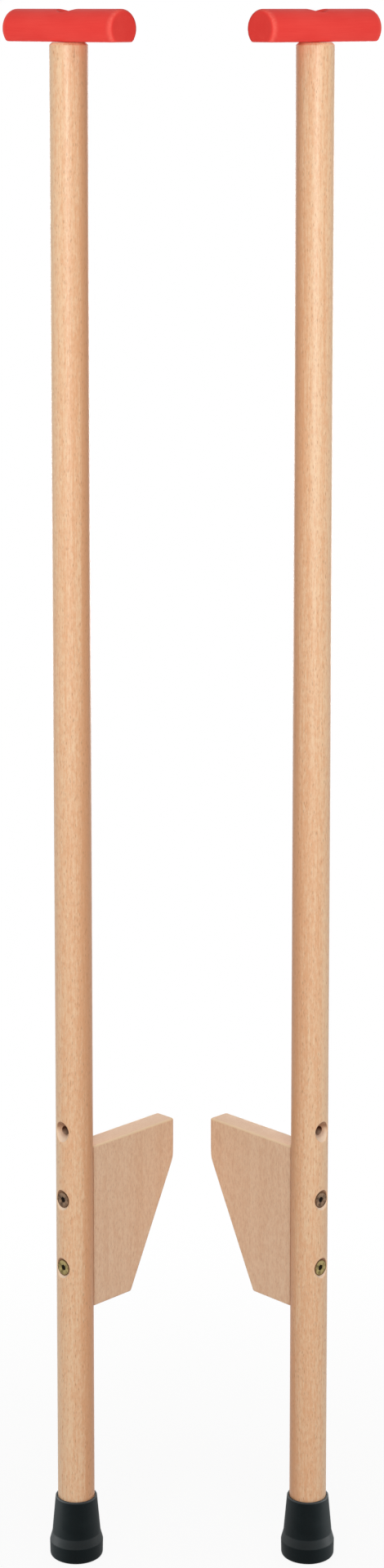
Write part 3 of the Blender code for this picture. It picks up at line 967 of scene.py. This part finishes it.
def fit(stilt, name, node, body, grids, material):
    # grids is what solid takes, or one whole grid of points
    grids = grids if isinstance(grids, list) else [{"points": grids}]
    piece = solid(f"{stilt.side}_{name}", grids, stilt.toWorld)
    piece.data.materials.append(material)
    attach(piece, f"{stilt.side}_{body}")
    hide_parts(f"{stilt.side}_{node}")
    dressed[stilt.side].append(piece)
    if node == "ferrule":
        dressed["feet"].append(piece)
    dressed["handles" if node.startswith("handle") else "low"].append(piece)


brightZinc, plainSteel = plated("bright zinc", "sleeve"), plated("plain steel", "washer")
grainLook = {                # where in the wood each stilt's pole and step are cut from
    "left": {"poleTurn": 0.7, "poleShift": 1.77, "stepTurn": 0.3, "stepShift": 7.3},
    "right": {"poleTurn": 2.6, "poleShift": 3.93, "stepTurn": 0.3, "stepShift": 9.0},
}

for stilt in stilts:
    side, grain = stilt.side, grainLook[stilt.side]
    stepTurn = math.atan2(stilt.axes[0][1], stilt.axes[0][0])
    inward, facing = -np.sign(stilt.foot[0]), math.radians(heartwoodAndShadeLook["facing"])
    # the darker inner side is partly the wood's tone and partly painted shade
    heartwoodAndShade = {"turn": math.atan2(-math.cos(facing), inward * math.sin(facing)),
                 "radius": stilt.poleRadius}
    holes = {"place": stilt.foot + [0, 0, stilt.lowerBolt["height"]], "turn": stepTurn,
             "pitch": stilt.holePitch, "count": poleLook["holeCount"],
             "radius": boltLook["shank"] / 2 + boltLook["clearance"], "pole": stilt.poleRadius}
    poleBeech = beech(f"{side} pole beech", "pole", stilt.foot, grain["poleTurn"], grain["poleShift"],
                      heartwoodAndShade, holes)
    board = stilt.node("step")
    edges = {"place": stilt.foot + [0, 0, board[:, 2].max()], "turn": stepTurn,
             "half": np.abs(board[:, 1]).max()}
    stepBeech = beech(f"{side} step beech", "step", stilt.foot, stepTurn + grain["stepTurn"],
                      grain["stepShift"], edges=edges)
    halfHandle = np.abs(stilt.node("handle")[:, 1]).max()
    paint = redPaint(f"{side} red paint", stilt.foot + [0, 0, stilt.poleTop], stepTurn, halfHandle)
    rubber = blackRubber(f"{side} black rubber", stilt.foot, stilt.node("ferrule")[:, 2].max())

    fit(stilt, "turned_pole", "pole", "stilt", poleGrids(stilt), poleBeech)
    fit(stilt, "painted_handle", "handle", "stilt", handleGrids(stilt), paint)
    fit(stilt, "sawn_step", "step", "step", stepGrids(stilt), stepBeech)
    fit(stilt, "rubber_foot", "ferrule", "stilt", ferruleGrid(stilt), rubber)
    washer = washerGrid(stilt.node("ferrule_washer"))
    fit(stilt, "steel_washer", "ferrule_washer", "stilt", washer, plainSteel)

    fixings = {              # each bolt, how it lies, and the bodies that it and its sleeve ride on
        "handle": (stilt.handleBolt(), standing, "stilt", "stilt"),
        "upper_step": (stilt.upperBolt, sunk, "upper_bolt", "step"),
        "lower_step": (stilt.lowerBolt, sunk, "lower_bolt", "step"),
    }
    for joint, (bolt, lay, boltBody, sleeveBody) in fixings.items():
        kind, raised = joint.split("_")[0], np.array([0, 0, bolt["height"]])
        face = np.array([0, 0, bolt["face"]]) @ lay + raised
        grid = boltGrid(bolt, boltTurns[kind]) @ lay + face
        plate = boltPlate(f"{side} {kind} bolt zinc", kind, stilt.toWorld(face), stepTurn,
                          bolt["headRadius"], upward=kind == "handle")
        fit(stilt, f"{kind}_zinc_bolt", f"{joint}_bolt", boltBody, grid, plate)
        points = (stilt.node(f"{joint}_insert") - raised) @ lay.T
        low, high = span(points[:, 2])
        radius = np.hypot(points[:, 0], points[:, 1]).max()
        grid = (insertGrid(radius, high - low) + [0, 0, high]) @ lay + raised
        fit(stilt, f"{joint}_sleeve", f"{joint}_insert", sleeveBody, grid, brightZinc)
    print(f"{side} stilt dressed")


# Floor, light and camera

stageLook = {
    "floorRadius": 14.0,
    "floorColumns": 96,
    "floorRings": 24,
    "floorColour": srgb(244, 244, 243),
    "floorFleck": srgb(238, 238, 237),
    "floorGrain": 0.02,
    "whiteNear": 0.92,       # how white the floor looks beside the feet, and where it is wholly white
    "fadeFrom": 0.12,
    "fadeTo": 0.9,
    "ambient": 0.24,
}


def seen(nodes):
    # 1 for rays that look at the background: from the camera, or off or through a shiny surface
    kinds = ("Camera", "Glossy", "Transmission")
    looking, shiny, through = [nodes.add("ShaderNodeLightPath", output=f"Is {kind} Ray") for kind in kinds]
    return looking.most(shiny).most(through)


def makeFloor():
    # a disc, radius by turn, with its rings closer together near the middle
    look = stageLook
    reach = look["floorRadius"] * np.linspace(0, 1, look["floorRings"])[:, None] ** 2
    points = ring(allRound(look["floorColumns"]), reach, 0 * reach)
    floor = solid("floor", [{"points": points}], lambda spots: spots)
    if floor.data.polygons[0].normal.z < 0:
        floor.data.flip_normals()
    paper = Finish("floor paper", Roughness=0.9, Specular_IOR_Level=0.1)
    grain = paper.noise(paper.spots(size=look["floorGrain"]), 2, 0.5)
    paper.set(Base_Color=paper.mix(grain * 0.2, look["floorColour"], look["floorFleck"]))
    distance = paper.add("ShaderNodeVectorMath", {"operation": "LENGTH"}, {0: paper.spots()}, "Value")
    near = look["whiteNear"]
    white = near + (1 - near) * distance.rise(look["fadeFrom"], look["fadeTo"])
    glow = paper.add("ShaderNodeEmission", None, {"Color": (1, 1, 1, 1), "Strength": 1.0})
    plain = Socket(paper, paper.shader.outputs[0])
    shown = paper.add("ShaderNodeMixShader", None, {0: white * seen(paper), 1: plain, 2: glow})
    paper.feed(paper.tree.nodes["Material Output"].inputs["Surface"], shown)
    floor.data.materials.append(paper.material)
    dressed["low"].append(floor)


def makeWorld():
    world = bpy.data.worlds.new("studio")
    bpy.context.scene.world = world
    world.use_nodes = True
    air = Nodes(world.node_tree)
    grey = air.add("ShaderNodeBackground", None, {"Color": (1, 1, 1, 1), "Strength": stageLook["ambient"]})
    white = air.add("ShaderNodeBackground", None, {"Color": (1, 1, 1, 1), "Strength": 1.0})
    shown = air.add("ShaderNodeMixShader", None, {0: seen(air), 1: grey, 2: white})
    air.feed(world.node_tree.nodes["World Output"].inputs["Surface"], shown)


softboxes = {                # place, aim, size, spread in degrees, watts, and what is lit
    "left_softbox": ((-0.60, -3.0, 1.42), (-0.11, 0, 1.42), (1.2, 1.3), 100, 16.4, "left"),
    "right_softbox": ((0.60, -3.0, 1.42), (0.11, 0, 1.42), (1.2, 1.3), 100, 16.4, "right"),
    "left_foot_softbox": ((-2.2, 0.2, 0.5), (0, 0, 0.03), (0.8, 1.0), 180, 95, "feet"),
    "right_foot_softbox": ((2.2, 0.2, 0.5), (0, 0, 0.03), (0.8, 1.0), 180, 95, "feet"),
    "handle_softbox": ((0, -3.0, 1.5), (0, 0, 1.45), (1.2, 1.3), 100, 2.1, "handles"),
    "top_softbox": ((0, -2.0, 7.5), (0, 0, 0), (3.0, 3.0), 180, 65, "all"),
    "low_top_softbox": ((0, -2.0, 7.5), (0, 0, 0), (3.0, 3.0), 180, 80, "low"),
    "back_left_softbox": ((-0.9, 3.0, 0.75), (0, 0, 0.7), (1.0, 1.2), 180, 20, "all"),
    "back_right_softbox": ((0.9, 3.0, 0.75), (0, 0, 0.7), (1.0, 1.2), 180, 20, "all"),
}


def makeLights():
    # each stilt has a softbox of its own in front, a little to its outer side, the black feet have two at
    # their sides, and the handles have a small one in front and half of the top light; the others light all
    for name, (place, aim, size, spread, watts, lights) in softboxes.items():
        lamp = bpy.data.lights.new(name, "AREA")
        lamp.shape, lamp.energy, lamp.spread = "RECTANGLE", watts, math.radians(spread)
        lamp.size, lamp.size_y = size
        holder = bpy.data.objects.new(name, lamp)
        holder.location = place
        holder.rotation_euler = (Vector(aim) - Vector(place)).to_track_quat("-Z", "Y").to_euler()
        bpy.context.scene.collection.objects.link(holder)
        if lights != "all":
            lit = bpy.data.collections.new(f"lit by {name}")
            for piece in dressed[lights]:
                lit.objects.link(piece)
            holder.light_linking.receiver_collection = lit


cameraLook = {"distance": 2.9, "eyeHeight": 1.4752, "pitch": 8.0, "lens": 73.37, "shift": -0.21}


def makeCamera():
    camera = bpy.data.cameras.new("camera")
    camera.sensor_fit = "VERTICAL"
    camera.sensor_width = camera.sensor_height = 36.0
    camera.lens, camera.shift_y = cameraLook["lens"], cameraLook["shift"]
    camera.dof.use_dof = False
    holder = bpy.data.objects.new("camera", camera)
    holder.location = (0, stilts[0].foot[1] - cameraLook["distance"], cameraLook["eyeHeight"])
    holder.rotation_euler = (math.radians(90 - cameraLook["pitch"]), 0, 0)
    bpy.context.scene.collection.objects.link(holder)
    bpy.context.scene.camera = holder


makeFloor()
makeWorld()
makeLights()
makeCamera()
bpy.context.scene.view_settings.view_transform = "Standard"
print("stage set")
